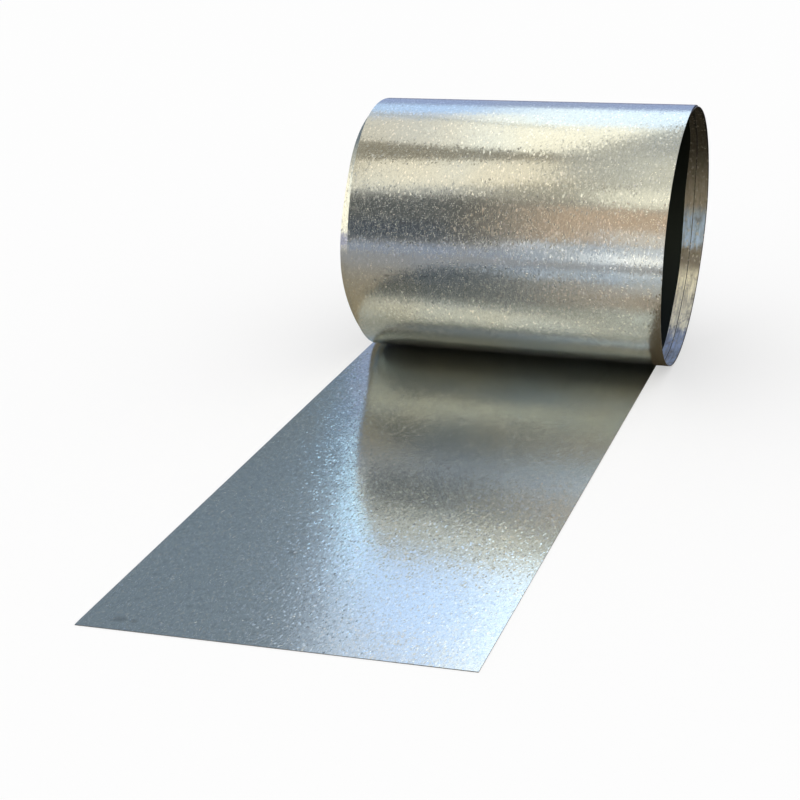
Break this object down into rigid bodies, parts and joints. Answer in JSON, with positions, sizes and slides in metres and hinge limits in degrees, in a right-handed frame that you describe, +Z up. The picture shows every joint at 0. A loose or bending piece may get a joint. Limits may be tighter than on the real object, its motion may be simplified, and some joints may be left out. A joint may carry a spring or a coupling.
{
  "type": "steel coil",
  "caption": "Short roll of thin galvanised steel strip lying on its side, its outer end rolled out flat along the floor.",
  "frame": {"origin": "on the floor under the coil's axis, at the middle of the tail's width", "axes": "+X along the coil's axis, the flat tail runs towards -Y, +Z up"},
  "size_m": [0.2879, 0.6075, 0.211],
  "materials": {
    "galvanised_steel": "hot-dip galvanised, semi-gloss, fine spangle"
  },
  "bodies": {
    "root": {"steel_strip": "galvanised_steel"}
  },
  "joints": []
}
